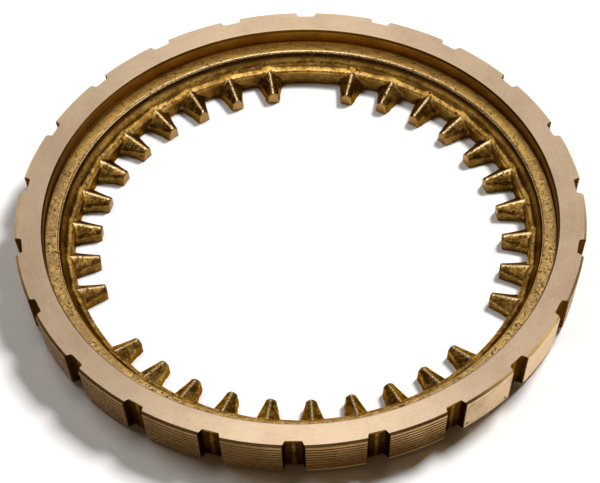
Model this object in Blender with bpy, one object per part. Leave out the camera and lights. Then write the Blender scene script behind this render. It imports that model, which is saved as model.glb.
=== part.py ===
"""Synchronizer ring of a truck gearbox: a brass casting with an outer friction cone and inner dog teeth.

The ring stands on the flange that carries its teeth, with its wide turned face on top and its axis on Z.
The body is a turned section, the teeth are lofted and patterned inside it, and the oil grooves are cut
across the cone. The fine thread on the cone isn't modelled.
"""

import math

import bmesh
import bpy
from mathutils import Matrix, Vector

MM = 0.001

# Turned body, from the outside inwards
CONE_RADIUS = 76.5 * MM  # the largest radius, at the foot of the wide face's outer chamfer
CONE_HALF_ANGLE = math.radians(7)
EDGE_CHAMFER = 0.6 * MM
LOWER_CHAMFER = 0.3 * MM
FACE_WIDTH = 6.5 * MM
BORE_CHAMFER = 0.5 * MM
BORE_FOOT_CHAMFER = 0.3 * MM
SHELF_WIDTH = 3.5 * MM
LIP_CHAMFER = 0.4 * MM
WALL_LEAN = 1.2 * MM  # how far the wall under the lip leans inwards
FLANGE_WIDTH = 2.6 * MM
FLANGE_EDGE_ROUND = 1.0 * MM

# Heights of the turned body, from the wide face downwards
BORE_DEPTH = 4.4 * MM
WALL_HEIGHT = 3.6 * MM
FLANGE_THICKNESS = 5.4 * MM  # at the foot of the wall
FLANGE_FALL = 0.55 * MM  # how far the flange's upper side falls towards its inner edge

# Lower side, where the flange stands proud of the cone's lower face
SEAT_STEP = 1.2 * MM
SEAT_WIDTH = 5.8 * MM
SEAT_CHAMFER = 0.4 * MM

# Dog teeth on the flange's inner edge, with one tooth left out at each wide gap
TOOTH_PLACE_COUNT = 33
WIDE_GAP_COUNT = 3
TOOTH_LENGTH = 7.0 * MM
TIP_HALF_WIDTH = 1.35 * MM
FLANK_ANGLE = math.radians(17.8)  # between a flank and the tooth's centre line, seen from above
ROOT_FILLET = 1.2 * MM
ROOF_ANGLE = math.radians(37.5)  # how steeply each side of the roof falls
CREST_ROUND = 0.45 * MM
TIP_ROUND = 0.35 * MM  # at the tip's upper end
RIDGE_PROUD = 0.1 * MM  # how far the ridge stands above the flange's edge at the root
RIDGE_FALL = 1.1 * MM  # from the root to the tip
TOE_FLARE = 0.25 * MM  # how far the toe stands out at the foot of each tip
TOE_EDGE = 0.4 * MM  # how far it goes straight up before it slopes in
TOE_HEIGHT = 1.8 * MM
TOE_LENGTH = 1.7 * MM
TOE_RUN_OUT = 0.6 * MM

# Oil grooves across the cone
GROOVE_COUNT = 22
GROOVE_TURN = math.radians(1.4)  # how far the pattern is turned from the middle of a wide gap
GROOVE_DEPTH = 2.0 * MM
GROOVE_FLOOR_WIDTH = 4.5 * MM
GROOVE_FLANK_ANGLE = math.radians(21.5)

# How finely the round shapes are divided
RING_STEPS = 132  # a multiple of both patterns
FILLET_STEPS = 3
EDGE_STEPS = 2
OVERSHOOT = 2.0 * MM  # how far the cutters run past the surfaces that they cut

# Sizes that follow from the ones above
FACE_HEIGHT = BORE_DEPTH + WALL_HEIGHT + FLANGE_THICKNESS
FACE_OUTER_RADIUS = CONE_RADIUS - EDGE_CHAMFER
FACE_INNER_RADIUS = FACE_OUTER_RADIUS - FACE_WIDTH
BORE_RADIUS = FACE_INNER_RADIUS - BORE_CHAMFER
SHELF_HEIGHT = FACE_HEIGHT - BORE_DEPTH
SHELF_INNER_RADIUS = BORE_RADIUS - SHELF_WIDTH
LIP_RADIUS = SHELF_INNER_RADIUS - LIP_CHAMFER
WALL_FOOT_RADIUS = LIP_RADIUS - WALL_LEAN
ROOT_RADIUS = WALL_FOOT_RADIUS - FLANGE_WIDTH
FLANGE_EDGE_HEIGHT = FLANGE_THICKNESS - FLANGE_FALL
TIP_RADIUS = ROOT_RADIUS - TOOTH_LENGTH
SEAT_RADIUS = ROOT_RADIUS + SEAT_WIDTH
GAP_ANGLE = math.radians(90)  # the first wide gap is on the far side


def cone_radius(height):
    """Radius of the friction cone at a height. It is widest at the foot of the wide face's chamfer."""
    return CONE_RADIUS - (FACE_HEIGHT - EDGE_CHAMFER - height) * math.tan(CONE_HALF_ANGLE)


def arc(centre, radius, start, end, steps):
    """Points along an arc from one angle to another, both ends included."""
    angles = [start + (end - start) * i / steps for i in range(steps + 1)]
    return [(centre[0] + radius * math.cos(a), centre[1] + radius * math.sin(a)) for a in angles]


def body_section():
    """Closed section of the body as (radius, height), running down its outer side."""
    wide_face = [(FACE_INNER_RADIUS, FACE_HEIGHT), (FACE_OUTER_RADIUS, FACE_HEIGHT)]
    cone_foot = SEAT_STEP + LOWER_CHAMFER
    cone = [
        (CONE_RADIUS, FACE_HEIGHT - EDGE_CHAMFER),
        (cone_radius(cone_foot), cone_foot),
        (cone_radius(SEAT_STEP) - LOWER_CHAMFER, SEAT_STEP),
    ]
    seat = [
        (SEAT_RADIUS, SEAT_STEP),
        (SEAT_RADIUS, SEAT_CHAMFER),
        (SEAT_RADIUS - SEAT_CHAMFER, 0),
        (ROOT_RADIUS, 0),
    ]
    # The round touches the root wall and the flange's upper side, which rises outwards at this angle
    rise = math.atan2(FLANGE_FALL, FLANGE_WIDTH)
    upper_side = FLANGE_EDGE_HEIGHT + FLANGE_EDGE_ROUND * math.tan(rise)
    centre = (ROOT_RADIUS + FLANGE_EDGE_ROUND, upper_side - FLANGE_EDGE_ROUND / math.cos(rise))
    flange_edge = arc(centre, FLANGE_EDGE_ROUND, math.pi, math.pi / 2 + rise, FILLET_STEPS)
    wall = [(WALL_FOOT_RADIUS, FLANGE_THICKNESS), (LIP_RADIUS, SHELF_HEIGHT - LIP_CHAMFER)]
    bore = [
        (SHELF_INNER_RADIUS, SHELF_HEIGHT),
        (BORE_RADIUS - BORE_FOOT_CHAMFER, SHELF_HEIGHT),
        (BORE_RADIUS, SHELF_HEIGHT + BORE_FOOT_CHAMFER),
        (BORE_RADIUS, FACE_HEIGHT - BORE_CHAMFER),
    ]
    return wide_face + cone + seat + flange_edge + wall + bore


def ridge_height(radius):
    """Height of a tooth's ridge. It falls evenly from the flange's edge, and rounds off at the tip."""
    slope_height = FLANGE_EDGE_HEIGHT + RIDGE_PROUD - RIDGE_FALL * (ROOT_RADIUS - radius) / TOOTH_LENGTH
    into_round = max(TIP_RADIUS + TIP_ROUND - radius, 0)
    return slope_height - TIP_ROUND + math.sqrt(TIP_ROUND**2 - min(into_round, TIP_ROUND) ** 2)


def flank_half_width(radius):
    """Half a tooth's width between its straight flanks."""
    return TIP_HALF_WIDTH + (radius - TIP_RADIUS) * math.tan(FLANK_ANGLE)


def tooth_stations():
    """Sections along a tooth as (radius, half width, toe flare), from the tip into the body."""
    tip = arc((TIP_RADIUS + TIP_ROUND, 0), TIP_ROUND, math.pi, math.pi / 2, EDGE_STEPS)
    toe_end = TIP_RADIUS + TOE_LENGTH
    stations = [(radius, flank_half_width(radius), TOE_FLARE) for radius, _ in tip]
    stations.append((toe_end, flank_half_width(toe_end), TOE_FLARE))
    run_out = toe_end + TOE_RUN_OUT
    stations.append((run_out, flank_half_width(run_out), 0))
    # The fillet touches the flank and the root circle
    fillet_radius = ROOT_RADIUS - ROOT_FILLET
    fillet_side = flank_half_width(fillet_radius) + ROOT_FILLET / math.cos(FLANK_ANGLE)
    fillet = arc((fillet_radius, fillet_side), ROOT_FILLET, FLANK_ANGLE - math.pi / 2, 0, FILLET_STEPS)
    stations += [(radius, half_width, 0) for radius, half_width in fillet]
    # The last section lies inside the body, where the ridge has run into the wall under the lip
    stations.append(((WALL_FOOT_RADIUS + LIP_RADIUS) / 2, fillet_side, 0))
    return stations


def tooth_section(radius, half_width, flare):
    """Closed section across a tooth as (side, height): a roof on upright flanks, flared at the toe."""
    crest_centre = ridge_height(radius) - CREST_ROUND
    roof_start, roof_end = math.pi / 2 - ROOF_ANGLE, math.pi / 2 + ROOF_ANGLE
    crest = arc((0, crest_centre), CREST_ROUND, roof_start, roof_end, EDGE_STEPS)
    shoulder = crest_centre + CREST_ROUND / math.cos(ROOF_ANGLE) - half_width * math.tan(ROOF_ANGLE)
    # Away from the toe its two upper corners lie on the flat flank
    toe_edge, toe_top = (TOE_EDGE, TOE_HEIGHT) if flare else (shoulder / 3, shoulder * 2 / 3)
    right = [
        (half_width + flare, 0),
        (half_width + flare, toe_edge),
        (half_width, toe_top),
        (half_width, shoulder),
    ]
    left = [(-side, height) for side, height in reversed(right)]
    return right + crest + left


def add_loft(bm, rings):
    """Closes a solid through rings of points, with a face on each end."""
    loops = [[bm.verts.new(point) for point in ring] for ring in rings]
    count = len(loops[0])
    for near, far in zip(loops, loops[1:]):
        for i in range(count):
            j = (i + 1) % count
            bm.faces.new((near[i], near[j], far[j], far[i]))
    bm.faces.new(reversed(loops[0]))
    bm.faces.new(loops[-1])


def add_pattern(bm, rings, places, first_angle, left_out=()):
    """Lofts the same rings at even places about the ring's axis, apart from the places left out."""
    for place in range(places):
        if place in left_out:
            continue
        turn = Matrix.Rotation(first_angle + place * math.tau / places, 3, "Z")
        add_loft(bm, [[turn @ Vector(point) for point in ring] for ring in rings])


def finish_object(name, bm):
    """Turns a bmesh into an object with outward faces, smooth where it is round."""
    bmesh.ops.recalc_face_normals(bm, faces=bm.faces)
    mesh = bpy.data.meshes.new(name)
    bm.to_mesh(mesh)
    bm.free()
    mesh.shade_smooth()
    mesh.set_sharp_from_angle(angle=math.radians(25))
    obj = bpy.data.objects.new(name, mesh)
    bpy.context.collection.objects.link(obj)
    return obj


def make_body():
    """The turned body, spun from its section."""
    bm = bmesh.new()
    verts = [bm.verts.new((radius, 0, height)) for radius, height in body_section()]
    edges = [bm.edges.new((a, b)) for a, b in zip(verts, verts[1:] + verts[:1])]
    bmesh.ops.spin(
        bm,
        geom=verts + edges,
        cent=(0, 0, 0),
        axis=(0, 0, 1),
        angle=math.tau,
        steps=RING_STEPS,
        use_merge=True,
    )
    return finish_object("synchronizer_ring", bm)


def make_teeth():
    """All the dog teeth, rooted inside the body."""
    rings = []
    for radius, half_width, flare in tooth_stations():
        section = tooth_section(radius, half_width, flare)
        rings.append([(radius, side, height) for side, height in section])
    gap_places = [round(i * TOOTH_PLACE_COUNT / WIDE_GAP_COUNT) for i in range(WIDE_GAP_COUNT)]
    bm = bmesh.new()
    add_pattern(bm, rings, TOOTH_PLACE_COUNT, GAP_ANGLE, gap_places)
    return finish_object("tooth_stock", bm)


def make_groove_cutters():
    """Splayed cutters whose floors follow the cone's lean at the grooves' depth."""
    outer = CONE_RADIUS + OVERSHOOT
    rings = []
    for height in (SEAT_STEP - OVERSHOOT, FACE_HEIGHT + OVERSHOOT):
        floor = cone_radius(height) - GROOVE_DEPTH
        floor_side = GROOVE_FLOOR_WIDTH / 2
        mouth_side = floor_side + (outer - floor) * math.tan(GROOVE_FLANK_ANGLE)
        rings.append(
            [
                (floor, -floor_side, height),
                (outer, -mouth_side, height),
                (outer, mouth_side, height),
                (floor, floor_side, height),
            ]
        )
    bm = bmesh.new()
    add_pattern(bm, rings, GROOVE_COUNT, GAP_ANGLE + GROOVE_TURN)
    return finish_object("groove_cutters", bm)


def combine(target, tool, operation):
    """Joins a tool to the target or cuts it away, and hides the tool."""
    boolean = target.modifiers.new(tool.name, "BOOLEAN")
    boolean.operation = operation
    boolean.solver = "EXACT"
    boolean.object = tool
    tool.hide_render = True
    tool.display_type = "WIRE"


def brass():
    """Cast and turned brass."""
    material = bpy.data.materials.new("brass")
    material.use_nodes = True
    shader = material.node_tree.nodes["Principled BSDF"]
    shader.inputs["Base Color"].default_value = (0.62, 0.41, 0.2, 1)
    shader.inputs["Metallic"].default_value = 1
    shader.inputs["Roughness"].default_value = 0.38
    return material


def main():
    for obj in list(bpy.data.objects):
        bpy.data.objects.remove(obj)
    ring = make_body()
    ring.data.materials.append(brass())
    combine(ring, make_teeth(), "UNION")
    combine(ring, make_groove_cutters(), "DIFFERENCE")


main()
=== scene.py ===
"""Dresses the synchronizer ring: a finer surface with its thread and cast edges, its brass, and a stage.

The ring's surface is made of patches, each a grid of points worked out from two parameters. The patches
share their edge points, so that they weld into one closed skin. Angles are turned about the ring's axis.
"""

import math

import bmesh
import bpy
import numpy as np
from bpy.props import FloatProperty, FloatVectorProperty, IntProperty, PointerProperty
from mathutils import Matrix, Vector


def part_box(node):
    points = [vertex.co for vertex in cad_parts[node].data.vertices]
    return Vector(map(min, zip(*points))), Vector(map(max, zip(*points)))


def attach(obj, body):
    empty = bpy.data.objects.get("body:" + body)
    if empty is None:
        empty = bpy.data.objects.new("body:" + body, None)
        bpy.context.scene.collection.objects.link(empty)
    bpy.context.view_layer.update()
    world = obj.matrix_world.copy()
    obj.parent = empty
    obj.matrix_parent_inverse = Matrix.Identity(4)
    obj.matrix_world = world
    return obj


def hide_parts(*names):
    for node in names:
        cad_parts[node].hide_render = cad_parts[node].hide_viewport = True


bl_info = {
    "name": "Synchronizer ring",
    "version": (1, 0, 0),
    "blender": (4, 5, 0),
    "location": "View3D > Sidebar > Ring",
    "description": "Builds the visible surface of a synchronizer ring and a stage for it",
    "category": "Add Mesh",
}

MM = 0.001
NODE = "synchronizer_ring"

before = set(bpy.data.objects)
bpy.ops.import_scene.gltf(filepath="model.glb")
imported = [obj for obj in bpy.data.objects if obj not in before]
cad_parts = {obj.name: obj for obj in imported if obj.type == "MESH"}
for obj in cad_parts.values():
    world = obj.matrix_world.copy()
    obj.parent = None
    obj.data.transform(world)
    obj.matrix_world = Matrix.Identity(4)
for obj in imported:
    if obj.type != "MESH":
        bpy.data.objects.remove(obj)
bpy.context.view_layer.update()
RING_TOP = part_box(NODE)[1].z
RING_RADIUS = min(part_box(NODE)[1].x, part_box(NODE)[1].y)


def length(name, value, description):
    """A size in millimetres, kept in metres."""
    return FloatProperty(
        name=name, description=description, default=value * MM, unit="LENGTH", precision=5
    )


def turn(name, degrees, description):
    """An angle."""
    return FloatProperty(
        name=name, description=description, default=math.radians(degrees), unit="ROTATION"
    )


def count(name, value, description):
    """A number of like things."""
    return IntProperty(name=name, description=description, default=value, min=1)


def colour(name, value, description):
    """A linear colour."""
    return FloatVectorProperty(
        name=name, description=description, default=value, subtype="COLOR", size=3, min=0, max=1
    )


class RingSizes(bpy.types.PropertyGroup):
    """Sizes of the ring, as in its solid."""

    edge_chamfer: length("Edge chamfer", 0.6, "Chamfer of the wide face's outer edge")
    lower_chamfer: length("Lower chamfer", 0.3, "Chamfer of the cone's lower edge")
    face_width: length("Face width", 6.5, "Width of the turned face on top")
    bore_chamfer: length("Bore chamfer", 0.5, "Chamfer of the wide face's inner edge")
    bore_foot: length("Bore foot", 0.3, "Chamfer at the foot of the counterbore")
    shelf_width: length("Shelf width", 3.5, "Width of the counterbore's floor")
    lip_chamfer: length("Lip chamfer", 0.4, "Chamfer of the shelf's inner edge")
    wall_lean: length("Wall lean", 1.2, "How far the wall under the lip leans inwards")
    flange_width: length("Flange width", 2.6, "Width of the flange's upper side")
    flange_round: length("Flange round", 0.9, "How far the round of the flange's edge runs")
    foot_round: length("Wall foot round", 0.9, "How far the round at the foot of the wall runs")
    lip_round: length("Lip round", 0.27, "How far the rounds of the lip's edges run")
    corner_round: length("Corner round", 0.08, "How far the rounds of the turned corners run")
    bore_depth: length("Bore depth", 4.4, "Depth of the counterbore")
    wall_height: length("Wall height", 3.6, "Height of the wall under the lip")
    flange_fall: length("Flange fall", 0.55, "How far the flange's upper side falls inwards")
    seat_step: length("Seat step", 1.2, "Height of the cone's lower face above the seat")
    seat_width: length("Seat width", 5.8, "Width of the flange's lower side")
    seat_chamfer: length("Seat chamfer", 0.4, "Chamfer of the seat's outer edge")
    cone_angle: turn("Cone angle", 7, "Half angle of the friction cone")
    sharp_angle: turn("Sharp angle", 32, "Faces that meet more steeply than this have a sharp edge")

    tooth_places: count("Tooth places", 33, "Places of the tooth pattern")
    wide_gaps: count("Wide gaps", 3, "Places that have no tooth")
    gap_angle: turn("Gap angle", 90, "Where the first wide gap is")
    tooth_length: length("Tooth length", 7.0, "From the root to the tip")
    tip_half_width: length("Tip half width", 1.35, "Half a tooth's width at its tip")
    flank_angle: turn("Flank angle", 17.8, "Between a flank and the tooth's centre line")
    root_fillet: length("Root fillet", 1.2, "Radius between a flank and the root wall")
    roof_angle: turn("Roof angle", 37.5, "How steeply each side of a tooth's roof falls")
    crest_round: length("Crest round", 0.75, "Radius of a tooth's ridge")
    tip_round: length("Tip round", 0.35, "Radius of the ridge's end at the tip")
    ridge_proud: length("Ridge height", 0.1, "Height of the ridge above the flange's edge")
    ridge_fall: length("Ridge fall", 1.1, "How far the ridge falls from the root to the tip")
    toe_flare: length("Toe flare", 0.25, "How far the toe stands out of a flank")
    toe_edge: length("Toe edge", 0.4, "How far the toe goes straight up")
    toe_height: length("Toe height", 1.8, "Height of the toe")
    toe_length: length("Toe length", 1.7, "Length of the toe from the tip")
    toe_run_out: length("Toe run-out", 0.6, "How far the toe takes to run into the flank")

    grooves: count("Grooves", 22, "Oil grooves across the cone")
    groove_turn: turn("Groove turn", 1.4, "How far the grooves are turned from a wide gap")
    groove_depth: length("Groove depth", 2.0, "Depth of a groove below the cone")
    groove_floor: length("Groove floor", 4.5, "Width of a groove's floor")
    groove_flank: turn("Groove flank", 21.5, "How far a groove's side leans outwards")
    groove_fillet: length("Groove fillet", 0.25, "How far the round in a groove's corner runs")

    thread_pitch: length("Thread pitch", 1.25, "Rise of the thread in one turn")
    thread_depth: length("Thread depth", 0.34, "Depth of the thread")
    thread_start: length("Thread start", 0.25, "Where on the cone the thread's turns lie")
    thread_run_in: length("Thread run-in", 1.7, "Height over which the thread reaches its full depth")
    thread_run_out: length("Thread run-out", 0.3, "Height over which the thread ends")
    # The cone's sheen stretch is painted pale: a painted reflection of the lit floor beside the right
    # front.
    sheen_from: turn("Sheen from", 33, "Where the cone's sheen stretch starts, to the right of the front")
    sheen_to: turn("Sheen to", 67, "Where the cone's sheen stretch ends")
    sheen_fade: turn("Sheen fade", 1, "Angle over which the sheen stretch fades in and out")


class FinishColours(bpy.types.PropertyGroup):
    """Linear colours of the finishes."""

    turned: colour("Turned", (0.87, 0.66, 0.45), "Turned faces")
    turned_dull: colour("Turned, dull", (0.7, 0.5, 0.33), "Stains and marks on the turned faces")
    # Darker than the brass's own turned colour: a painted shade for the shadowed floor that the cone
    # mirrors.
    cone: colour("Cone", (0.6, 0.37, 0.14), "Friction cone")
    cone_dull: colour("Cone, dull", (0.38, 0.22, 0.075), "Stains and marks on the cone")
    # A painted reflection: the pale colour of the cone's sheen stretch.
    cone_sheen: colour("Cone, sheen", (0.96, 0.76, 0.51), "The cone's sheen stretch")
    cone_pit: colour("Cone pit", (0.05, 0.025, 0.01), "Pits in the cone")
    cast: colour("Cast", (1.0, 0.59, 0.135), "Golden parts of the cast surfaces")
    cast_brown: colour("Cast, brown", (0.44, 0.22, 0.04), "Brown parts of the cast surfaces")
    # Pale colour of worn cast edges. It is also a painted highlight on edges that face up, on the lip and
    # on the shelf.
    cast_wear_and_sheen: colour("Cast, worn", (1.0, 0.77, 0.42), "Rubbed edges of the cast surfaces")
    # Darker copies of the cast colours: a painted shade in the grooves' recesses. The pale one is for worn
    # edges and a painted highlight.
    groove: colour("Groove", (0.52, 0.3, 0.07), "Golden parts of the grooves")
    groove_brown: colour("Groove, brown", (0.28, 0.14, 0.03), "Brown parts of the grooves")
    groove_wear_and_sheen: colour("Groove, worn", (0.6, 0.38, 0.13), "Rubbed parts of the grooves")
    tip: colour("Tip", (0.44, 0.25, 0.08), "Tips of the teeth")
    tip_dull: colour("Tip, dull", (0.3, 0.16, 0.05), "Stains and marks on the tips")
    # The counterbore's wall is turned brass. These dark colours are a painted shade for the dark
    # surroundings it mirrors.
    bore: colour("Bore", (0.24, 0.11, 0.011), "Wall of the counterbore")
    bore_dull: colour("Bore, dull", (0.13, 0.056, 0.004), "Stains and marks on that wall")
    # Also the colour of the painted shade on the teeth's slopes and upright faces, under the lip and on
    # the grooves' sides.
    dirt_and_shade: colour("Dirt", (0.035, 0.014, 0.003), "Dirt in valleys and pores")
    glance: colour("Glance", (0.75, 0.5, 0.22), "Cast surfaces seen at a glancing angle")


class StageSettings(bpy.types.PropertyGroup):
    """Camera, floor and lamps."""

    distance: length("Camera distance", 779.2, "From the camera to the middle of the wide face")
    elevation: turn("Camera elevation", 49.32, "Height of the camera above the horizon")
    azimuth: turn("Camera turn", 4.26, "Turn of the camera about the ring's axis")
    roll: turn("Camera roll", -2.09, "Tilt of the picture")
    aim_drop: length("Aim drop", 6.93, "How far below the wide face's middle the camera aims")
    focal_length: FloatProperty(
        name="Focal length", description="For a 36 mm sensor", default=174.8, unit="CAMERA"
    )
    floor_colour: colour("Floor colour", (0.93, 0.93, 0.93), "Pale floor")
    world_colour: colour("World colour", (1.0, 0.68, 0.36), "Colour of the even light from all round")
    world_strength: FloatProperty(
        name="World strength", description="Strength of the even light", default=0.065, min=0
    )


# Columns between the corners of a tooth's section: foot, toe, flank, roof and the crest's two halves
SECTION_PARTS = [2, 3, 2, 6, 1, 1]
# Where the crest's corners lie, as shares of the roof's angle
CREST_CORNERS = (1, 0.5, 0)
# How finely the other stretches are divided
TOE_PARTS = 3
RUN_OUT_PARTS = 2
FLANK_PARTS = 6
FILLET_POINTS = 6
GAP_PARTS = 6
LAND_PARTS = 10
GROOVE_PARTS = 5
FLANGE_ROWS = 18
PROFILE_SAMPLES = 4000
LONGEST_ROW = 0.8 * MM
THINNEST = 0.02 * MM

# The first rows of a tooth, as shares of its tip's round
TIP_ROWS = np.array([0, 0.3, 0.8])
# The smaller section that closes a tip, and the height of its middle, as shares of the tip's
TIP_INSET = 0.8
TIP_MIDDLE = 0.45
# The most that a toe takes of its shoulder's height
TOE_LIMIT = 0.7

# Where the patches of the wide face meet, as shares of its width from its inner and its outer edge
INNER_JOIN = 1 / 3
OUTER_JOIN = 0.42
# Width of the first row of the lower face outside the seat
SEAT_MARGIN = 0.3 * MM

# The rows of one turn of the thread as shares of the pitch, and their depths as shares of its depth
THREAD_PHASES = np.array([0, 0.27, 0.54, 0.66, 0.77, 0.88])
THREAD_DEPTHS = np.array([0, 0, 0, 0.55, 1, 0.5])

# Points within a cell of this size are joined. The shift keeps round sizes off the cells' borders.
WELD_CELL = 0.5e-6
WELD_SHIFT = 0.37

# Longer edges don't count when a point's neighbours are averaged
LONGEST_EDGE = 0.9 * MM
# How strongly cast edges are softened, and the share of it that is left at the teeth's tips
CAST_SOFTNESS = 0.5
TIP_SOFTNESS = 0.3
# What counts as a relief of 1, and how much the wider surroundings count
RELIEF_UNIT = 0.1 * MM
WIDE_RELIEF = 2

# Middles of three small dark pits near the lower edge of the cone, at the right front, and their radii
CONE_PITS = [
    (38.4 * MM, -64.6 * MM, 4.3 * MM),
    (54.9 * MM, -51.0 * MM, 2.4 * MM),
    (45.3 * MM, -59.9 * MM, 3.1 * MM),
]
PIT_CORE = 0.39 * MM
PIT_REACH = 0.65 * MM

LAMP_DISTANCE = 1.3
FLOOR_REACH = 3.0
FLOOR_DROP = 0.05 * MM


def weld(points, faces, materials):
    """Joins points that lie together, and drops the triangles that close up."""
    keys = np.round((points + WELD_SHIFT * WELD_CELL) / WELD_CELL).astype(np.int64)
    _, first, where = np.unique(keys, axis=0, return_index=True, return_inverse=True)
    faces = where.reshape(-1)[faces]
    whole = (faces[:, 0] != faces[:, 1]) & (faces[:, 1] != faces[:, 2]) & (faces[:, 2] != faces[:, 0])
    faces, materials = faces[whole], materials[whole]
    used, faces = np.unique(faces, return_inverse=True)
    return points[first[used]], faces.reshape(-1, 3), materials


class Skin:
    """Collects patches of points and triangles."""

    def __init__(self):
        self.points = []
        self.faces = []
        self.materials = []
        self.count = 0

    def add(self, points, faces, material):
        """Adds triangles, whose material is one number or one for each triangle."""
        self.points.append(points.reshape(-1, 3))
        self.faces.append(faces + self.count)
        self.materials.append(np.broadcast_to(material, len(faces)))
        self.count += self.points[-1].shape[0]

    def add_grid(self, grid, material, closed=False, keep=None):
        """Adds a grid of points (row, column). Each cell gives two triangles of one material."""
        rows, columns = grid.shape[:2]
        number = np.arange(rows * columns).reshape(rows, columns)
        right = np.roll(number, -1, axis=1) if closed else number[:, 1:]
        left = number if closed else number[:, :-1]
        a, b, c, d = left[:-1], right[:-1], right[1:], left[1:]
        cells = np.stack([np.stack([a, b, c], -1), np.stack([a, c, d], -1)], axis=2)
        material = np.broadcast_to(material, a.shape)
        if keep is not None:
            keep = np.broadcast_to(keep, a.shape)
            cells, material = cells[keep], material[keep]
        self.add(grid, cells.reshape(-1, 3), np.repeat(material.reshape(-1), 2))

    def add_strip(self, loop, other, material):
        """Joins two loops about the axis, whose points are in the order of their angles.

        Each edge of a loop makes a triangle with the other loop's last point before the edge's end.
        """
        angles = np.unwrap(np.arctan2(loop[:, 1], loop[:, 0]))
        others = angles[0] + (np.arctan2(other[:, 1], other[:, 0]) - angles[0]) % math.tau
        order = np.argsort(others)
        other, others = other[order], others[order]
        n, m = len(loop), len(other)
        i, j = np.arange(n), np.arange(m)
        beside_loop = np.searchsorted(others, np.roll(angles, -1)) - 1
        beside_other = np.searchsorted(angles, np.roll(others, -1), "right") - 1
        faces = np.concatenate(
            [
                np.stack([i, (i + 1) % n, n + beside_loop % m], -1),
                np.stack([beside_other % n, n + j, n + (j + 1) % m], -1),
            ]
        )
        self.add(np.concatenate([loop, other]), faces, material)


def rounded_path(corners, sizes, parts=4):
    """Points along straight runs. Each inner corner is cut back by its size and rounded by a parabola."""
    corners = np.array(corners)
    t = np.linspace(0, 1, parts + 1)[:, None]
    path = [corners[:1]]
    for before, corner, after, size in zip(corners, corners[1:], corners[2:], sizes):
        start = corner + size * (before - corner) / np.linalg.norm(before - corner)
        end = corner + size * (after - corner) / np.linalg.norm(after - corner)
        path.append((1 - t) ** 2 * start + 2 * t * (1 - t) * corner + t**2 * end)
    path.append(corners[-1:])
    return np.vstack(path)


def divided(stops, longest):
    """The stops, with even steps between those that lie further apart than the longest step."""
    parts = np.ceil(np.diff(stops) / longest).astype(int)
    return np.concatenate(
        [np.linspace(a, b, n, endpoint=False) for a, b, n in zip(stops, stops[1:], parts)] + [stops[-1:]]
    )


def spun(radius, angle, height):
    """Points at a radius and an angle about the axis."""
    radius, angle, height = np.broadcast_arrays(radius, angle, height)
    return np.stack([radius * np.cos(angle), radius * np.sin(angle), height], -1)


def turned(points, angle):
    """Points turned about the axis."""
    c, s = math.cos(angle), math.sin(angle)
    return points @ np.array([[c, s, 0], [-s, c, 0], [0, 0, 1]])


def smoothstep(x):
    """Rises from 0 to 1 as x does, with level ends."""
    x = np.clip(x, 0, 1)
    return x * x * (3 - 2 * x)


class InnerProfile:
    """The body's section inside the wide face: up the root wall from the seat, and out to the wide face.

    It runs straight between its corners, which are rounded by parabolas.
    """

    def __init__(self, s):
        face_outer = RING_RADIUS - s.edge_chamfer
        self.face_inner = face_outer - s.face_width
        bore = self.face_inner - s.bore_chamfer
        shelf_inner = bore - s.shelf_width
        lip = shelf_inner - s.lip_chamfer
        wall_foot = lip - s.wall_lean
        self.root = wall_foot - s.flange_width
        shelf = RING_TOP - s.bore_depth
        lip_edge = shelf - s.lip_chamfer
        flange = shelf - s.wall_height
        self.flange_edge = flange - s.flange_fall
        self.join = self.face_inner + s.face_width * INNER_JOIN
        corners = [
            (self.root, 0),
            (self.root, self.flange_edge),
            (wall_foot, flange),
            (lip, lip_edge),
            (shelf_inner, shelf),
            (bore - s.bore_foot, shelf),
            (bore, shelf + s.bore_foot),
            (bore, RING_TOP - s.bore_chamfer),
            (self.face_inner, RING_TOP),
            (self.join, RING_TOP),
        ]
        rounds = [s.flange_round, s.foot_round] + 2 * [s.lip_round] + 4 * [s.corner_round]
        path = rounded_path(corners, rounds)
        self.path = path
        self.along = np.concatenate([[0], np.cumsum(np.linalg.norm(np.diff(path, axis=0), axis=1))])
        at_wall_foot = np.argmin(np.linalg.norm(path - np.array([wall_foot, flange]), axis=1))
        self.foot = self.along[at_wall_foot]
        self.outward = divided(self.along[at_wall_foot:], LONGEST_ROW)
        self.wall_foot, self.lip, self.shelf_inner, self.bore = wall_foot, lip, shelf_inner, bore
        self.flange, self.lip_edge, self.shelf = flange, lip_edge, shelf
        self.cone_lean = math.tan(s.cone_angle)

    def at(self, along):
        """Radius and height at a distance along the profile."""
        radius = np.interp(along, self.along, self.path[:, 0])
        height = np.interp(along, self.along, self.path[:, 1])
        return radius, height


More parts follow.
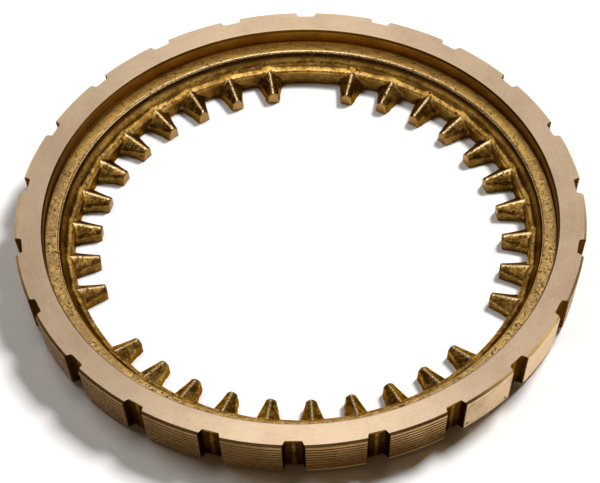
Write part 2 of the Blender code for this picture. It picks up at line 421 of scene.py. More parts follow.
class Tooth:
    """One dog tooth in its own frame: x runs outwards from the axis, y across, z up.

    A section has corners from its foot over the toe, the shoulder and the crest to the ridge. Each column
    of the grid keeps its place between two corners, from the tip to where the tooth meets the body.
    """

    def __init__(self, s, profile):
        self.s = s
        self.root = profile.root
        self.tip = self.root - s.tooth_length
        self.edge = profile.flange_edge
        self.fillet_x = self.root - s.root_fillet
        straight = s.tip_half_width + (self.fillet_x - self.tip) * math.tan(s.flank_angle)
        self.fillet_y = straight + s.root_fillet / math.cos(s.flank_angle)
        self.columns()
        self.stations()
        self.grid = self.surface(profile)

    def columns(self):
        """Which two corners each column lies between, and how far along."""
        last = len(SECTION_PARTS) - 1
        corner = np.concatenate([np.full(n, k) for k, n in enumerate(SECTION_PARTS)] + [[last]])
        share = np.concatenate([np.arange(n) / n for n in SECTION_PARTS] + [[1.0]])
        mirror = slice(-2, None, -1)
        self.corner = np.concatenate([corner, corner[mirror]])
        self.share = np.concatenate([share, share[mirror]])
        self.side = np.concatenate([-np.ones(len(corner)), np.ones(len(corner) - 1)])
        self.shoulder = sum(SECTION_PARTS[:3])
        self.roof = slice(self.shoulder, len(self.corner) - self.shoulder)

    def stations(self):
        """Distances from the axis, before they are stretched to where each column meets the body."""
        s = self.s
        toe_end = self.tip + s.toe_length
        run_out = toe_end + s.toe_run_out
        straight_end = self.fillet_x + s.root_fillet * math.sin(s.flank_angle)
        rounded = np.linspace(s.flank_angle, math.pi / 2, FILLET_POINTS)
        self.x = np.concatenate(
            [
                self.tip + s.tip_round * TIP_ROWS,
                np.linspace(self.tip + 2 * s.tip_round, toe_end, TOE_PARTS, endpoint=False),
                np.linspace(toe_end, run_out, RUN_OUT_PARTS, endpoint=False),
                np.linspace(run_out, straight_end, FLANK_PARTS, endpoint=False),
                self.fillet_x + s.root_fillet * np.sin(rounded),
            ]
        )

    def half_width(self, x):
        """Straight flanks that turn into the root wall along an arc."""
        s = self.s
        straight = s.tip_half_width + (x - self.tip) * math.tan(s.flank_angle)
        into_arc = np.clip(x - self.fillet_x, 0, s.root_fillet)
        rounded = self.fillet_y - np.sqrt(s.root_fillet**2 - into_arc**2)
        return np.where(x > self.fillet_x + s.root_fillet * math.sin(s.flank_angle), rounded, straight)

    def crest_centre(self, x):
        """Centre of the ridge's round. The ridge falls towards the tip and is rounded off there."""
        s = self.s
        ridge = self.edge + s.ridge_proud - s.ridge_fall * (self.root - x) / s.tooth_length
        into_round = np.clip(self.tip + s.tip_round - x, 0, s.tip_round)
        return ridge - s.tip_round + np.sqrt(s.tip_round**2 - into_round**2) - s.crest_round

    def roof_height(self, x, y):
        """Two slopes that meet in a round crest."""
        s = self.s
        slope = s.crest_round / math.cos(s.roof_angle) - np.abs(y) * math.tan(s.roof_angle)
        crest = np.sqrt(np.maximum(s.crest_round**2 - y**2, 0))
        on_crest = np.abs(y) < s.crest_round * math.sin(s.roof_angle)
        return self.crest_centre(x) + np.where(on_crest, crest, slope)

    def section(self, station, x):
        """Points across the tooth. The width comes from the station and the heights from x."""
        s = self.s
        width = self.half_width(station)
        run_out = self.tip + s.toe_length + s.toe_run_out
        flare = s.toe_flare * smoothstep((run_out - station) / s.toe_run_out)
        shoulder = self.roof_height(x, width)
        toe_top = np.minimum(s.toe_height, TOE_LIMIT * shoulder)
        toe_edge = np.minimum(s.toe_edge, toe_top / 3)
        corners = [(width + flare, np.zeros_like(x)), (width + flare, toe_edge)]
        corners += [(width, toe_top), (width, shoulder)]
        for share in CREST_CORNERS:
            y = np.full_like(x, s.crest_round * math.sin(share * s.roof_angle))
            corners.append((y, self.roof_height(x, y)))
        corners = np.array(corners)
        column = np.arange(len(self.corner))
        low, high = corners[self.corner, :, :, column], corners[self.corner + 1, :, :, column]
        across, height = np.moveaxis(low + (high - low) * self.share[:, None, None], 0, -1)
        return np.stack([x, across * self.side, height], -1)

    def surface(self, profile):
        """The grid from the tip to the body, with a smaller section first that closes the tip."""
        width = self.half_width(np.array([self.root]))
        at_root = np.full((1, len(self.corner)), self.root)
        column_y = self.section(at_root, at_root)[0, :, 1]
        on_roof = np.zeros(len(self.corner), bool)
        on_roof[self.roof] = True
        on_roof[self.shoulder] = on_roof[-1 - self.shoulder] = False
        # A roof column ends where the body's profile first rises above the roof
        along = np.linspace(0, profile.foot, PROFILE_SAMPLES)[:, None]
        radius, height = profile.at(along)
        reach = np.sqrt(radius**2 - column_y**2)
        above = height > self.roof_height(reach, column_y)
        if not above[:, on_roof].any(axis=0).all():
            raise ValueError("A tooth's roof doesn't run into the body")
        self.start = along[np.argmax(above, axis=0), 0]
        flank_end = math.sqrt(self.root**2 - width[0] ** 2)
        self.shoulder_height = self.roof_height(np.array(flank_end), width)[0]
        self.start[~on_roof] = self.shoulder_height
        end_radius, end_height = profile.at(self.start)
        end = np.where(on_roof, np.sqrt(end_radius**2 - column_y**2), flank_end)
        stretch = (self.x - self.tip) / (self.root - self.tip)
        x = self.tip + stretch[:, None] * (end - self.tip)
        station = np.broadcast_to(self.x[:, None], x.shape)
        grid = self.section(station, x)
        grid[-1, on_roof, 2] = end_height[on_roof]
        self.angle = np.arctan2(grid[-1, :, 1], grid[-1, :, 0])
        middle = np.array([self.tip, 0, TIP_MIDDLE * grid[0, :, 2].max()])
        inset = middle + (grid[0] - middle) * TIP_INSET
        return np.concatenate([inset[None], grid])


TURNED, THREADED, CAST, GROOVE, TIP, SHADED_BORE = range(6)


def place_angles(s):
    """Angle of each tooth place, and whether it has a tooth."""
    place = np.arange(s.tooth_places)
    gaps = np.round(np.arange(s.wide_gaps) * s.tooth_places / s.wide_gaps)
    return s.gap_angle + place * math.tau / s.tooth_places, ~np.isin(place, gaps)


def add_teeth(skin, s, tooth):
    """Every tooth, with its tip closed by a fan and its lower side by a strip."""
    grid = tooth.grid
    columns = grid.shape[1]
    centre = grid[0].mean(axis=0)
    centre[0] = tooth.tip
    rim = np.arange(columns)
    fan = np.stack([rim, np.roll(rim, -1), np.full(columns, columns)], -1)
    for angle, there in zip(*place_angles(s)):
        if not there:
            continue
        skin.add_grid(turned(grid[:2], angle), TIP, closed=True)
        skin.add_grid(turned(grid[1:], angle), CAST)
        skin.add(turned(np.vstack([grid[0], centre]), angle), fan, TIP)
        skin.add_grid(turned(grid[1:, [0, -1]], angle), TURNED)


def add_inner_side(skin, s, profile, tooth):
    """The body inside the wide face, whose columns start at the seat or on a tooth's roof."""
    roof_angle = tooth.angle[tooth.roof]
    roof_start = tooth.start[tooth.roof]
    half_place = math.pi / s.tooth_places
    gap = np.linspace(roof_angle[-1], 2 * half_place - roof_angle[-1], GAP_PARTS + 1)[1:-1]
    columns, starts, open_below = [], [], []
    for angle, there in zip(*place_angles(s)):
        over_tooth = roof_angle if there else np.linspace(roof_angle[0], roof_angle[-1], len(roof_angle))
        columns += [angle + over_tooth, angle + gap]
        starts.append(roof_start if there else np.full(len(roof_start), tooth.shoulder_height))
        starts.append(np.full(len(gap), tooth.shoulder_height))
        open_below.append(np.full(len(roof_angle) - 1, not there))
        open_below.append(np.full(len(gap) + 1, True))
    columns, starts, open_below = map(np.concatenate, (columns, starts, open_below))

    share = np.linspace(0, 1, FLANGE_ROWS, endpoint=False)[:, None]
    flange_rows = starts + share * (profile.foot - starts)
    outer_rows = np.broadcast_to(profile.outward[:, None], (len(profile.outward), len(columns)))
    radius, height = profile.at(np.concatenate([flange_rows, outer_rows]))
    middle_height = (height[:-1, 0] + height[1:, 0]) / 2
    middle_radius = (radius[:-1, 0] + radius[1:, 0]) / 2
    # The counterbore's wall takes the finish with painted-shade colours.
    in_bore = (middle_radius > profile.bore - 2 * s.bore_foot) & (middle_height > profile.shelf)
    finish = np.where(in_bore, SHADED_BORE, CAST)
    finish = np.where(middle_radius > profile.face_inner, TURNED, finish)
    skin.add_grid(spun(radius, columns, height), finish[:, None], closed=True)

    flank = tooth.grid[-1, : tooth.shoulder + 1, 2]
    wall = spun(profile.root, columns, flank[:, None])
    skin.add_grid(wall, CAST, closed=True, keep=open_below)
    on_seat = open_below | np.roll(open_below, 1)
    return spun(profile.join, columns, RING_TOP), wall[0, on_seat]


def groove_across(s, floor, mouth):
    """Half of a groove's section as (x, y) points: floor, rounded corner and side.

    The side is straight and ends where its distance from the axis is the mouth's radius. A few rounds of
    working out its end's x from its y, and the other way round, are enough.
    """
    lean = math.tan(s.groove_flank)
    side = s.groove_floor / 2
    top = mouth
    for _ in range(3):
        top_y = side + (top - floor) * lean
        top = np.sqrt(mouth**2 - top_y**2)
    top_y = side + (top - floor) * lean
    fillet = s.groove_fillet
    rise = fillet * math.cos(s.groove_flank)
    x = [floor, floor, floor + rise / 4, floor + rise, (floor + rise + top) / 2, top]
    y = [0 * floor, side - fillet + 0 * floor]
    y += [side + (rise * lean - fillet) / 4 + 0 * floor, side + rise * lean + 0 * floor]
    y += [(side + rise * lean + top_y) / 2, top_y]
    return np.stack(x, -1), np.stack(y, -1)


def add_outer_side(skin, s, profile):
    """The cone with its thread and grooves, and the lower face down to the seat's edge.

    The rows on the cone follow the thread: turns lie one pitch apart, and each rises by one pitch as it
    goes round the ring. Rows that would leave the cone lie together on its edge. A column in a groove
    keeps its place on the groove's section, and one on a land its share of the angle between two mouths.
    """
    top, foot = RING_TOP - s.edge_chamfer, s.seat_step + s.lower_chamfer
    half = GROOVE_PARTS
    across = 2 * half + LAND_PARTS
    total = across * s.grooves
    column = np.arange(total)
    rise = s.thread_pitch * column / total
    turns = math.ceil((top - foot) / s.thread_pitch) + 2
    fall = s.thread_pitch * (np.arange(turns)[:, None] + THREAD_PHASES).reshape(-1)
    depth = np.tile(THREAD_DEPTHS, turns)
    height = np.clip(top + s.thread_start - fall[:, None] + rise, foot, top)
    height = np.where(top - height < THINNEST, top, np.where(height - foot < THINNEST, foot, height))
    cut = s.thread_depth * depth[:, None] * np.ones(total)
    cut = cut * smoothstep((top - height) / s.thread_run_in)
    cut = cut * smoothstep((height - foot) / s.thread_run_out)

    def cone(z):
        """The cone's radius at a height."""
        return RING_RADIUS - (top - z) * math.tan(s.cone_angle)

    edge = np.full((1, total), RING_TOP)
    lower = np.full((1, total), s.seat_step)
    ends = np.full((1, total), top), np.full((1, total), foot)
    height = np.concatenate([edge, ends[0], height, ends[1], lower])
    land = np.concatenate(
        [edge * 0 + RING_RADIUS - s.edge_chamfer, cone(ends[0]), cone(height[2:-2]) - cut]
        + [cone(ends[1]), cone(lower) - s.lower_chamfer]
    )
    floor = cone(height) - s.groove_depth
    x, y = groove_across(s, floor, land)

    place = column % across
    centre = s.gap_angle + s.groove_turn + (column // across) * math.tau / s.grooves
    after = place >= across - half
    on_section = np.where(place <= half, place, np.where(after, across - place, half))
    groove_x, groove_y = x[:, column, on_section], y[:, column, on_section]
    off_centre = np.arctan2(groove_y, groove_x)
    radius = np.hypot(groove_x, groove_y)
    share = (place - half) / LAND_PARTS
    between = (place > half) & ~after
    mouth = np.arctan2(y[:, :, -1], x[:, :, -1])
    on_land = mouth + (math.tau / s.grooves - 2 * mouth) * share
    angle = np.where(after, math.tau / s.grooves - off_centre, off_centre)
    angle = centre + np.where(between, on_land, angle)
    radius = np.where(between, land, radius)
    grid = spun(radius, angle, height)

    in_groove = (place < half) | after
    join = spun(RING_RADIUS - s.edge_chamfer - s.face_width * OUTER_JOIN, angle[0], RING_TOP)
    seat = profile.root + s.seat_width
    under = [(seat + SEAT_MARGIN, s.seat_step), (seat, s.seat_step), (seat, s.seat_chamfer)]
    under.append((seat - s.seat_chamfer, 0))
    under = np.stack([spun(r, angle[-1], z) for r, z in under])
    skin.add_grid(np.concatenate([join[None], grid[:1]]), TURNED, closed=True)
    skin.add_grid(grid, np.where(in_groove, GROOVE, THREADED), closed=True)
    skin.add_grid(np.concatenate([grid[-1:], under]), TURNED, closed=True)
    return join, under[-1]


def edges_of(faces):
    """The triangles' edges, each once, as pairs of points, and how many triangles have each."""
    edges = np.concatenate([faces[:, [0, 1]], faces[:, [1, 2]], faces[:, [2, 0]]])
    return np.unique(np.sort(edges, axis=1), axis=0, return_counts=True)


def neighbours(points, edges):
    """The edges that aren't too long."""
    return edges[np.linalg.norm(points[edges[:, 0]] - points[edges[:, 1]], axis=1) < LONGEST_EDGE]


def average(values, pairs):
    """Mean of each point's neighbours. A point that has none keeps its value."""
    a, b = pairs.T
    size = len(values)
    flat = values.reshape(size, -1)
    number = np.bincount(a, minlength=size) + np.bincount(b, minlength=size)
    sums = [np.bincount(a, column[b], size) + np.bincount(b, column[a], size) for column in flat.T]
    mean = np.stack(sums, -1) / np.maximum(number, 1)[:, None]
    return np.where(number[:, None] > 0, mean, flat).reshape(values.shape)


def relax(points, pairs, softness, rounds=6):
    """Moves each point towards the middle of its neighbours, which rounds the cast edges."""
    for _ in range(rounds):
        points = points + softness[:, None] * (average(points, pairs) - points)
    return points


def relief(points, normals, pairs):
    """How far each point stands out of its surroundings: above 0 on edges, below 0 in valleys."""
    standing = ((points - average(points, pairs)) * normals).sum(axis=1)
    wide = average(average(standing, pairs), pairs)
    return (standing + WIDE_RELIEF * wide) / RELIEF_UNIT


def cast_softness(points, profile, tooth):
    """How strongly each point is moved when the cast edges are rounded.

    It rises inwards from the lip, falls again towards the teeth's tips, and is nothing on the seat.
    """
    radius = np.hypot(points[:, 0], points[:, 1])
    inside_lip = smoothstep((profile.lip - 0.2 * MM - radius) / (0.6 * MM))
    off_tip = smoothstep((radius - tooth.tip - 0.2 * MM) / (1.5 * MM))
    above_seat = points[:, 2] > 0.01 * MM
    return CAST_SOFTNESS * inside_lip * (TIP_SOFTNESS + (1 - TIP_SOFTNESS) * off_tip) * above_seat


def build_surface(s, profile):
    """All the patches of the ring, welded, with its cast edges rounded, and the pairs of neighbours."""
    skin = Skin()
    tooth = Tooth(s, profile)
    add_teeth(skin, s, tooth)
    inner_join, inner_seat = add_inner_side(skin, s, profile, tooth)
    outer_join, outer_seat = add_outer_side(skin, s, profile)
    skin.add_strip(inner_join, outer_join, TURNED)
    skin.add_strip(inner_seat, outer_seat, TURNED)
    points, faces, materials = weld(
        np.concatenate(skin.points), np.concatenate(skin.faces), np.concatenate(skin.materials)
    )
    edges, uses = edges_of(faces)
    if (uses != 2).any():
        raise ValueError("The ring's surface isn't closed")
    points = relax(points, neighbours(points, edges), cast_softness(points, profile, tooth))
    return points, faces, materials, neighbours(points, edges)


def mesh_object(name, points, faces, materials, pairs, finishes, sharp_angle):
    """A mesh object from arrays, with outward faces, sharp edges and its relief as an attribute."""
    mesh = bpy.data.meshes.new(name)
    mesh.vertices.add(len(points))
    mesh.vertices.foreach_set("co", points.astype(np.float32).reshape(-1))
    mesh.loops.add(faces.size)
    mesh.loops.foreach_set("vertex_index", faces.astype(np.int32).reshape(-1))
    mesh.polygons.add(len(faces))
    mesh.polygons.foreach_set("loop_start", np.arange(0, faces.size, 3, dtype=np.int32))
    for finish in finishes:
        mesh.materials.append(finish)
    mesh.polygons.foreach_set("material_index", materials.astype(np.int32))
    mesh.update(calc_edges=True)
    bm = bmesh.new()
    bm.from_mesh(mesh)
    bmesh.ops.recalc_face_normals(bm, faces=bm.faces)
    bm.to_mesh(mesh)
    bm.free()
    normals = np.empty(len(points) * 3, np.float32)
    mesh.vertex_normals.foreach_get("vector", normals)
    standing = relief(points, normals.reshape(-1, 3), pairs)
    mesh.attributes.new("relief", "FLOAT", "POINT").data.foreach_set("value", standing.astype(np.float32))
    mesh.shade_smooth()
    mesh.set_sharp_from_angle(angle=sharp_angle)
    obj = bpy.data.objects.new(name, mesh)
    bpy.context.collection.objects.link(obj)
    return obj


class Wire:
    """A shader value. Arithmetic on it adds Math nodes to its sheet."""

    def __init__(self, sheet, socket):
        self.sheet = sheet
        self.socket = socket

    def __add__(self, other):
        return self.sheet.maths("ADD", self, other)

    def __sub__(self, other):
        return self.sheet.maths("SUBTRACT", self, other)

    def __rsub__(self, other):
        return self.sheet.maths("SUBTRACT", other, self)

    def __mul__(self, other):
        return self.sheet.maths("MULTIPLY", self, other)

    def __truediv__(self, other):
        return self.sheet.maths("DIVIDE", self, other)

    __radd__ = __add__
    __rmul__ = __mul__


class Sheet:
    """A material's node tree."""

    def __init__(self, name):
        self.material = bpy.data.materials.new(name)
        self.material.use_nodes = True
        self.tree = self.material.node_tree
        self.tree.nodes.clear()

    def add(self, kind, settings, inputs, output=0):
        """Adds a node, sets it up, fills its sockets with values or wires, and gives one output."""
        node = self.tree.nodes.new(kind)
        for name, value in settings.items():
            setattr(node, name, value)
        for key, value in inputs.items():
            if isinstance(value, Wire):
                self.tree.links.new(value.socket, node.inputs[key])
            else:
                node.inputs[key].default_value = value
        return Wire(self, node.outputs[output] if node.outputs else None)

    def maths(self, operation, *values, clamp=False):
        """A Math node."""
        return self.add(
            "ShaderNodeMath", {"operation": operation, "use_clamp": clamp}, dict(enumerate(values))
        )

    def most(self, first, second):
        """The larger of two values."""
        if isinstance(first, Wire) or isinstance(second, Wire):
            return self.maths("MAXIMUM", first, second)
        return max(first, second)

    def mix(self, factor, first, second):
        """A blend of two colours."""
        first, second = (c if isinstance(c, Wire) else (*c, 1) for c in (first, second))
        inputs = {0: factor, 6: first, 7: second}
        return self.add("ShaderNodeMix", {"data_type": "RGBA"}, inputs, output=2)

    def place(self):
        """Position on the object, its three parts, and the distance from the axis."""
        position = self.add("ShaderNodeTexCoord", {}, {}, output=3)
        parts = [self.add("ShaderNodeSeparateXYZ", {}, {0: position}, output=k) for k in range(3)]
        radius = self.maths("SQRT", parts[0] * parts[0] + parts[1] * parts[1])
        return position, parts, radius

    def lathe(self, parts, radius, level, mark_length, mark_width):
        """Coordinates that are long round the axis and short across, for the marks of a lathe tool."""
        reach = RING_RADIUS / mark_length
        across = {0: parts[0] / radius * reach, 1: parts[1] / radius * reach, 2: level / mark_width}
        return self.add("ShaderNodeCombineXYZ", {}, across)

    def facing(self):
        """1 where the surface lies level, 0 where it stands upright."""
        normal = self.add("ShaderNodeNewGeometry", {}, {}, output=1)
        return self.add("ShaderNodeSeparateXYZ", {}, {0: normal}, output=2)

    def noise(self, vector, scale, detail=3, roughness=0.55):
        """A cloudy value about 0.5."""
        inputs = {"Vector": vector, "Scale": scale, "Detail": detail, "Roughness": roughness}
        return self.add("ShaderNodeTexNoise", {}, inputs)

    def step(self, value, low, high):
        """0 below low, 1 above high."""
        return self.add(
            "ShaderNodeMapRange",
            {"interpolation_type": "SMOOTHSTEP"},
            {"Value": value, "From Min": low, "From Max": high},
        )

    def near(self, position, place, core, reach):
        """1 inside the core about a place, 0 beyond its reach."""
        settings = {"operation": "DISTANCE"}
        away = self.add("ShaderNodeVectorMath", settings, {0: position, 1: place}, output=1)
        return self.step(away, reach, core)

    def bump(self, height, distance):
        """A normal from a height."""
        return self.add("ShaderNodeBump", {}, {"Height": height, "Distance": distance, "Strength": 1.0})

    def finish(self, inputs):
        """The metal's shader."""
        shader = self.add("ShaderNodeBsdfPrincipled", {}, inputs)
        self.add("ShaderNodeOutputMaterial", {}, {0: shader})
        return self.material


def turned_brass(name, tone, dull, shine, lay):
    """Turned brass: fine marks run round the axis, with faint stains across them.

    The shine is its least roughness, and the lay says how much the marks stretch its highlights.
    """
    sheet = Sheet(name)
    position, parts, radius = sheet.place()
    streaks = sheet.noise(sheet.lathe(parts, radius, radius, 5 * MM, 0.22 * MM), 1, detail=3)
    marks = sheet.noise(sheet.lathe(parts, radius, radius, 20 * MM, 0.1 * MM), 1, detail=2)
    stains = sheet.noise(position, 90, detail=5, roughness=0.7)
    sand = sheet.noise(position, 1100, detail=3, roughness=0.7)
    dullness = sheet.step(stains, 0.4, 0.7) * 0.45 + sheet.step(streaks, 0.35, 0.7) * 0.3
    base = sheet.mix(dullness + sheet.step(sand, 0.4, 0.7) * 0.25, tone, dull)
    normal = sheet.bump(marks * 0.5 + streaks * 0.4 + sand * 0.4, 0.016 * MM)
    roughness = shine + stains * 0.08 + marks * 0.05
    inputs = {"Base Color": base, "Metallic": 1.0, "Roughness": roughness, "Normal": normal}
    inputs.update({"Anisotropic": lay, "Anisotropic Rotation": 0.25})
    return sheet.finish(inputs)


def threaded_brass(name, colours, s):
    """The friction cone: fine marks round it, a few dark pits, and a rougher stretch whose pale colour is
    a painted reflection.
    """
    sheet = Sheet(name)
    position, parts, radius = sheet.place()
    marks = sheet.noise(sheet.lathe(parts, radius, parts[2], 45 * MM, 0.16 * MM), 1, detail=2)
    stains = sheet.noise(position, 110, detail=5, roughness=0.65)
    pits = sheet.step(sheet.noise(position, 420, detail=1), 0.78, 0.82)
    for place in CONE_PITS:
        pits = sheet.most(pits, sheet.near(position, place, PIT_CORE, PIT_REACH))
    around = sheet.maths("ARCTAN2", parts[0], 0 - parts[1])
    # sheen_stretch is the cone's right-front stretch. Its pale colour is a painted reflection of the lit
    # floor, and its raised roughness is the surface's own.
    sheen_stretch = sheet.step(around, s.sheen_from, s.sheen_from + s.sheen_fade)
    sheen_stretch = sheen_stretch * sheet.step(around, s.sheen_to, s.sheen_to - s.sheen_fade)
    sheen_stretch = sheen_stretch * sheet.step(parts[2], RING_TOP - 0.55 * MM, RING_TOP - 0.7 * MM)
    dullness = sheet.step(stains, 0.4, 0.7) * 0.7 + sheet.step(marks, 0.4, 0.7) * 0.3
    # The cone's dark base colour is a painted shade, and the pale stretch over it is a painted reflection.
    base = sheet.mix(dullness, colours.cone, colours.cone_dull)
    base = sheet.mix(sheen_stretch * (1 - sheet.step(stains, 0.45, 0.75) * 0.5), base, colours.cone_sheen)
    base = sheet.mix(pits * 0.85, base, colours.cone_pit)
    normal = sheet.bump(marks * (1 - sheen_stretch * 0.7) - pits * 16.0, 0.003 * MM)
    roughness = 0.22 + stains * 0.1 + sheen_stretch * 0.33
    inputs = {"Base Color": base, "Metallic": 1.0, "Roughness": roughness, "Normal": normal}
    inputs.update({"Anisotropic": 0.6, "Anisotropic Rotation": 0.25})
    return sheet.finish(inputs)


def cast_brass(name, tones, colours, grain, shaded_and_soiled, profile):
    """Cast brass: golden or brown in patches, pale on edges that face up, nearly black in valleys and
    pores.

    The tones are its golden, brown and worn colours, and the worn colour is also a painted highlight on
    edges that face up. The function shaded_and_soiled gives, for the part's own places, its painted shade
    and soiling, what is polished and painted pale as a highlight, where a painted golden reflection lies,
    and where the darkening in hollows is lifted.
    """
    golden, brown, worn = tones
    sheet = Sheet(name)
    position, parts, radius = sheet.place()
    standing = sheet.add("ShaderNodeAttribute", {"attribute_name": "relief"}, {}, output=2)
    level = sheet.facing()
    patches = sheet.noise(position, 140, detail=3, roughness=0.6)
    mottle = sheet.noise(position, 430, detail=6, roughness=0.8)
    specks = sheet.noise(position, 1500, detail=2, roughness=0.6)
    pores = sheet.step(sheet.noise(position, 1250, detail=2), 0.6, 0.66)
    pores = pores * sheet.step(patches + mottle * 0.5, 0.66, 0.8)
    shade_and_soil, polish_and_highlight, even, shade_lift = shaded_and_soiled(sheet, profile, parts, radius, level, mottle, specks)
    # even marks the far shelf, which is pushed towards golden: a painted reflection.
    base = sheet.mix(sheet.step(mottle * 0.7 + patches * 0.3 + even * 0.13, 0.44, 0.56), brown, golden)
    # Pale where edges stand out and face up, and where polished: partly wear, partly a painted highlight.
    wear_and_highlight = sheet.step(standing * 0.7 + specks * 0.8, 0.6, 1.0) * sheet.step(level, 0.7, 0.92)
    wear_and_highlight = sheet.most(wear_and_highlight, polish_and_highlight)
    base = sheet.mix(wear_and_highlight, base, worn)
    # Darker in hollows, where the relief is low, broken up by noise.
    hollow_dark = sheet.step(0.55 - standing * 1.5 - mottle * 0.5 - specks * 0.4, 0.1, 0.5)
    hollow_dark = hollow_dark * (1 - sheet.most(polish_and_highlight, shade_lift))
    # The dark colour covers the painted shade, the darkening in hollows, the shelf's dirty patches and the
    # pores.
    shade_and_soil = sheet.most(shade_and_soil, sheet.most(hollow_dark * 0.85, pores * 0.9))
    base = sheet.mix(shade_and_soil, base, colours.dirt_and_shade)
    normal = sheet.bump(mottle * 0.7 + specks * 0.4 + patches * 0.5 - pores * 0.4, grain)
    roughness = 0.3 + mottle * 0.1 + pores * 0.2 - wear_and_highlight * 0.12
    inputs = {"Base Color": base, "Metallic": 1.0, "Roughness": roughness, "Normal": normal}
    inputs["Specular Tint"] = (*colours.glance, 1)
    return sheet.finish(inputs)


def inner_shade_and_dirt(sheet, profile, parts, radius, level, mottle, specks):
    """Painted shade on the teeth's slopes, on the upright walls and under the lip, whose edge is polished
    and painted pale as a highlight.

    The shelf is pitted and dirty, with a painted pale highlight that is weaker on the far side, where it
    is painted less dirty and golden as a painted reflection. Each place is a band of radius or height next
    to one of the profile's corners, with soft borders.
    """
    height = parts[2]
    # far rises towards the ring's far side, which is painted lighter and more golden: a painted
    # reflection.
    far = sheet.step(parts[1], 5 * MM, 45 * MM)
    # Painted shade on the teeth's slopes, broken into blotches.
    slope = sheet.step(radius, profile.root + 0.43 * MM, profile.root - 0.57 * MM)
    slope = slope * sheet.step(level, 0.96, 0.82)
    slope = slope * (sheet.step(mottle * 0.5 + specks * 0.5, 0.64, 0.4) * 0.5 + 0.3)
    # Painted shade on the upright faces inside the wall's foot: root walls and tooth flanks.
    upright = sheet.step(radius, profile.wall_foot - 0.17 * MM, profile.wall_foot - 0.57 * MM)
    upright = upright * sheet.step(level, 0.5, 0.1) * (0.5 + mottle * 0.5)
    # Painted shade on the wall under the lip, darkest towards the lip.
    under_lip = sheet.step(radius, profile.wall_foot + 0.13 * MM, profile.wall_foot + 0.53 * MM)
    under_lip = under_lip * sheet.step(height, profile.lip_edge, profile.lip_edge - 0.2 * MM)
    under_lip = under_lip * sheet.step(height, profile.flange + 0.2 * MM, profile.flange + 2.4 * MM)
    under_lip = under_lip * (0.7 + mottle * 0.6)
    shade_and_soil = sheet.maths("MAXIMUM", slope, sheet.most(upright, under_lip), clamp=True)

    # The lip's edge is painted pale as a painted highlight line. Its lower roughness is the edge's own.
    lip = sheet.step(radius, profile.lip - 0.17 * MM, profile.lip - 0.02 * MM)
    lip = lip * sheet.step(radius, profile.shelf_inner + 0.28 * MM, profile.shelf_inner + 0.08 * MM)
    lip = lip * sheet.step(height, profile.lip_edge - 0.3 * MM, profile.lip_edge - 0.1 * MM) * 0.8
    lip = lip * (sheet.step(specks + mottle, 0.75, 1.0) * 0.5 + 0.5)
    shelf = sheet.step(radius, profile.shelf_inner + 0.13 * MM, profile.shelf_inner + 0.63 * MM)
    # Dirty patches on the shelf, fewer on the far side as part of its painted lighter look.
    dirt_and_shade = sheet.step(specks * 0.5 + mottle * 0.6, 0.53, 0.67) * (0.8 - far * 0.5)
    shade_and_soil = sheet.most(shade_and_soil, shelf * dirt_and_shade)
    # Some pale colour on the shelf as a painted highlight, weaker on the far side.
    polish_and_highlight = sheet.most(lip, shelf * (0.3 - far * 0.22))

    # The darkening in hollows is lifted at the wall's foot, a little near the front and more on the far
    # side: a painted lighter far side.
    foot = sheet.step(radius, profile.wall_foot - 0.57 * MM, profile.wall_foot - 0.07 * MM)
    foot = foot * sheet.step(height, profile.flange + 2.6 * MM, profile.flange + 1.6 * MM)
    # Returns the painted shade with soiling, the polished and painted-highlight places, the far shelf's
    # painted golden reflection, and the lift.
    return shade_and_soil, polish_and_highlight, shelf * far, foot * (0.15 + far * 0.45)


def groove_side_shade(sheet, profile, parts, radius, level, mottle, specks):
    """Painted shade on the grooves' sides, which lie less deep under the cone than their floors."""
    cone = RING_RADIUS - RING_TOP * profile.cone_lean + parts[2] * profile.cone_lean
    side = sheet.step(cone - radius, 1.85 * MM, 1.55 * MM)
    return side * (0.68 + mottle * 0.5), 0.0, 0.0, 0.0


def ring_finishes(colours, s, profile):
    """The finishes, in the order of their numbers."""
    cast = colours.cast, colours.cast_brown, colours.cast_wear_and_sheen
    groove = colours.groove, colours.groove_brown, colours.groove_wear_and_sheen
    return [
        turned_brass("turned_brass", colours.turned, colours.turned_dull, shine=0.3, lay=0.8),
        threaded_brass("threaded_brass", colours, s),
        cast_brass("cast_brass", cast, colours, grain=0.25 * MM, shaded_and_soiled=inner_shade_and_dirt, profile=profile),
        # The grooves take darker colours, a painted shade.
        cast_brass("shaded_groove_brass", groove, colours, grain=0.14 * MM, shaded_and_soiled=groove_side_shade, profile=profile),
        turned_brass("tip_brass", colours.tip, colours.tip_dull, shine=0.4, lay=0.2),
        # The counterbore's wall: turned brass in dark colours, a painted shade.
        turned_brass("shaded_bore_brass", colours.bore, colours.bore_dull, shine=0.26, lay=0.5),
    ]


class RING_OT_build_ring(bpy.types.Operator):
    """Builds the ring's surface over its solid"""

    bl_idname = "ring.build_ring"
    bl_label = "Build ring"

    def execute(self, context):
        sizes = context.scene.ring_sizes
        profile = InnerProfile(sizes)
        surface = build_surface(sizes, profile)
        finishes = ring_finishes(context.scene.ring_colours, sizes, profile)
        ring = mesh_object("dressed_ring", *surface, finishes, sizes.sharp_angle)
        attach(ring, "root")
        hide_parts(NODE)
        return {"FINISHED"}


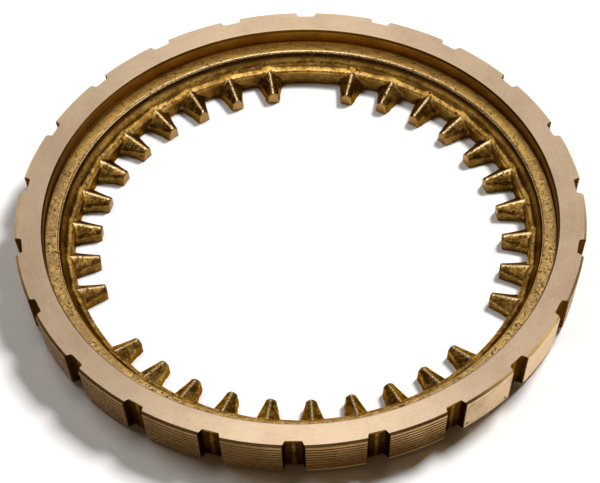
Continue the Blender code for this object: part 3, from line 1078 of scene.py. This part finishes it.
def add_lamp(name, azimuth, elevation, size, power):
    """A soft rectangular lamp that faces the ring. Its azimuth is its turn from the front to the right."""
    data = bpy.data.lights.new(name, "AREA")
    data.shape = "RECTANGLE"
    data.size, data.size_y = size
    data.energy = power
    azimuth, elevation = math.radians(azimuth), math.radians(elevation)
    level = math.cos(elevation)
    away = Vector((math.sin(azimuth) * level, -math.cos(azimuth) * level, math.sin(elevation)))
    lamp = bpy.data.objects.new(name, data)
    lamp.location = away * LAMP_DISTANCE
    lamp.rotation_euler = (-away).to_track_quat("-Z", "Y").to_euler()
    bpy.context.collection.objects.link(lamp)
    return lamp


def add_camera(t):
    """The photograph's camera, which looks down on the ring from in front."""
    across = Vector((1, 0, 0))
    forward = Vector((0, math.cos(t.elevation), -math.sin(t.elevation)))
    up = across.cross(forward)
    middle = Vector((0, 0, RING_TOP))
    location = middle - forward * t.distance
    right = across * math.cos(t.roll) + up * math.sin(t.roll)
    upward = up * math.cos(t.roll) - across * math.sin(t.roll)
    aim = middle - upward * t.aim_drop
    back = (location - aim).normalized()
    upward = back.cross(right).normalized()
    right = upward.cross(back)
    pose = Matrix((right, upward, back)).transposed().to_4x4()
    pose.translation = location
    camera = bpy.data.objects.new("camera", bpy.data.cameras.new("camera"))
    camera.data.lens = t.focal_length
    camera.data.clip_start = 0.01
    camera.matrix_world = Matrix.Rotation(t.azimuth, 4, "Z") @ pose
    bpy.context.collection.objects.link(camera)
    bpy.context.scene.camera = camera


def add_floor(t):
    """A pale floor just under the ring's seat."""
    sides = [(-1, -1), (1, -1), (1, 1), (-1, 1)]
    corners = [(x * FLOOR_REACH, y * FLOOR_REACH, -FLOOR_DROP) for x, y in sides]
    mesh = bpy.data.meshes.new("floor")
    mesh.from_pydata(corners, [], [(0, 1, 2, 3)])
    floor = bpy.data.objects.new("floor", mesh)
    bpy.context.collection.objects.link(floor)
    sheet = Sheet("floor")
    mesh.materials.append(sheet.finish({"Base Color": (*t.floor_colour, 1), "Roughness": 0.9}))
    return floor


def link_light(lamp, target, state):
    """Lets a lamp light the target alone (INCLUDE), or all but the target (EXCLUDE). Shadows stay."""
    lit = bpy.data.collections.new(lamp.name)
    lit.objects.link(target)
    lit.collection_objects[0].light_linking.link_state = state
    lamp.light_linking.receiver_collection = lit


def set_world(tint, strength):
    """Even light from all round."""
    world = bpy.data.worlds.new("world")
    world.use_nodes = True
    background = world.node_tree.nodes["Background"]
    background.inputs["Color"].default_value = (*tint, 1)
    background.inputs["Strength"].default_value = strength
    bpy.context.scene.world = world


class RING_OT_build_stage(bpy.types.Operator):
    """Builds the camera, the floor and the lamps"""

    bl_idname = "ring.build_stage"
    bl_label = "Build stage"

    def execute(self, context):
        stage = context.scene.ring_stage
        add_camera(stage)
        floor = add_floor(stage)
        set_world(stage.world_colour, stage.world_strength)
        ring_lamps = [
            add_lamp("back_softbox", azimuth=179, elevation=64, size=(0.75, 1.4), power=3.4),
            add_lamp("top_softbox", azimuth=5, elevation=80, size=(0.9, 0.9), power=5.5),
            add_lamp("right_softbox", azimuth=85, elevation=14, size=(0.9, 0.5), power=2.0),
        ]
        floor_lamps = [
            add_lamp("floor_lamp", azimuth=136, elevation=52, size=(0.35, 0.35), power=20.5),
            add_lamp("floor_fill", azimuth=235, elevation=62, size=(0.7, 0.7), power=5),
        ]
        for lamp in ring_lamps:
            link_light(lamp, floor, "EXCLUDE")
        for lamp in floor_lamps:
            link_light(lamp, floor, "INCLUDE")
        context.scene.view_settings.view_transform = "Standard"
        return {"FINISHED"}


class RING_PT_panel(bpy.types.Panel):
    """Lists the steps, the sizes and the colours"""

    bl_label = "Synchronizer ring"
    bl_idname = "RING_PT_panel"
    bl_space_type = "VIEW_3D"
    bl_region_type = "UI"
    bl_category = "Ring"

    def draw(self, context):
        scene = context.scene
        for settings in (scene.ring_sizes, scene.ring_colours, scene.ring_stage):
            for name in type(settings).__annotations__:
                self.layout.prop(settings, name)
        self.layout.operator(RING_OT_build_ring.bl_idname)
        self.layout.operator(RING_OT_build_stage.bl_idname)


CLASSES = (
    RingSizes,
    FinishColours,
    StageSettings,
    RING_OT_build_ring,
    RING_OT_build_stage,
    RING_PT_panel,
)


def register():
    """Registers the classes and hangs the settings on the scene."""
    for item in CLASSES:
        bpy.utils.register_class(item)
    bpy.types.Scene.ring_sizes = PointerProperty(type=RingSizes)
    bpy.types.Scene.ring_colours = PointerProperty(type=FinishColours)
    bpy.types.Scene.ring_stage = PointerProperty(type=StageSettings)


def unregister():
    """Takes the settings and the classes away again."""
    del bpy.types.Scene.ring_stage
    del bpy.types.Scene.ring_colours
    del bpy.types.Scene.ring_sizes
    for item in reversed(CLASSES):
        bpy.utils.unregister_class(item)


def main():
    """Builds the ring and its stage."""
    register()
    bpy.ops.ring.build_ring()
    bpy.ops.ring.build_stage()


if __name__ == "__main__":
    main()
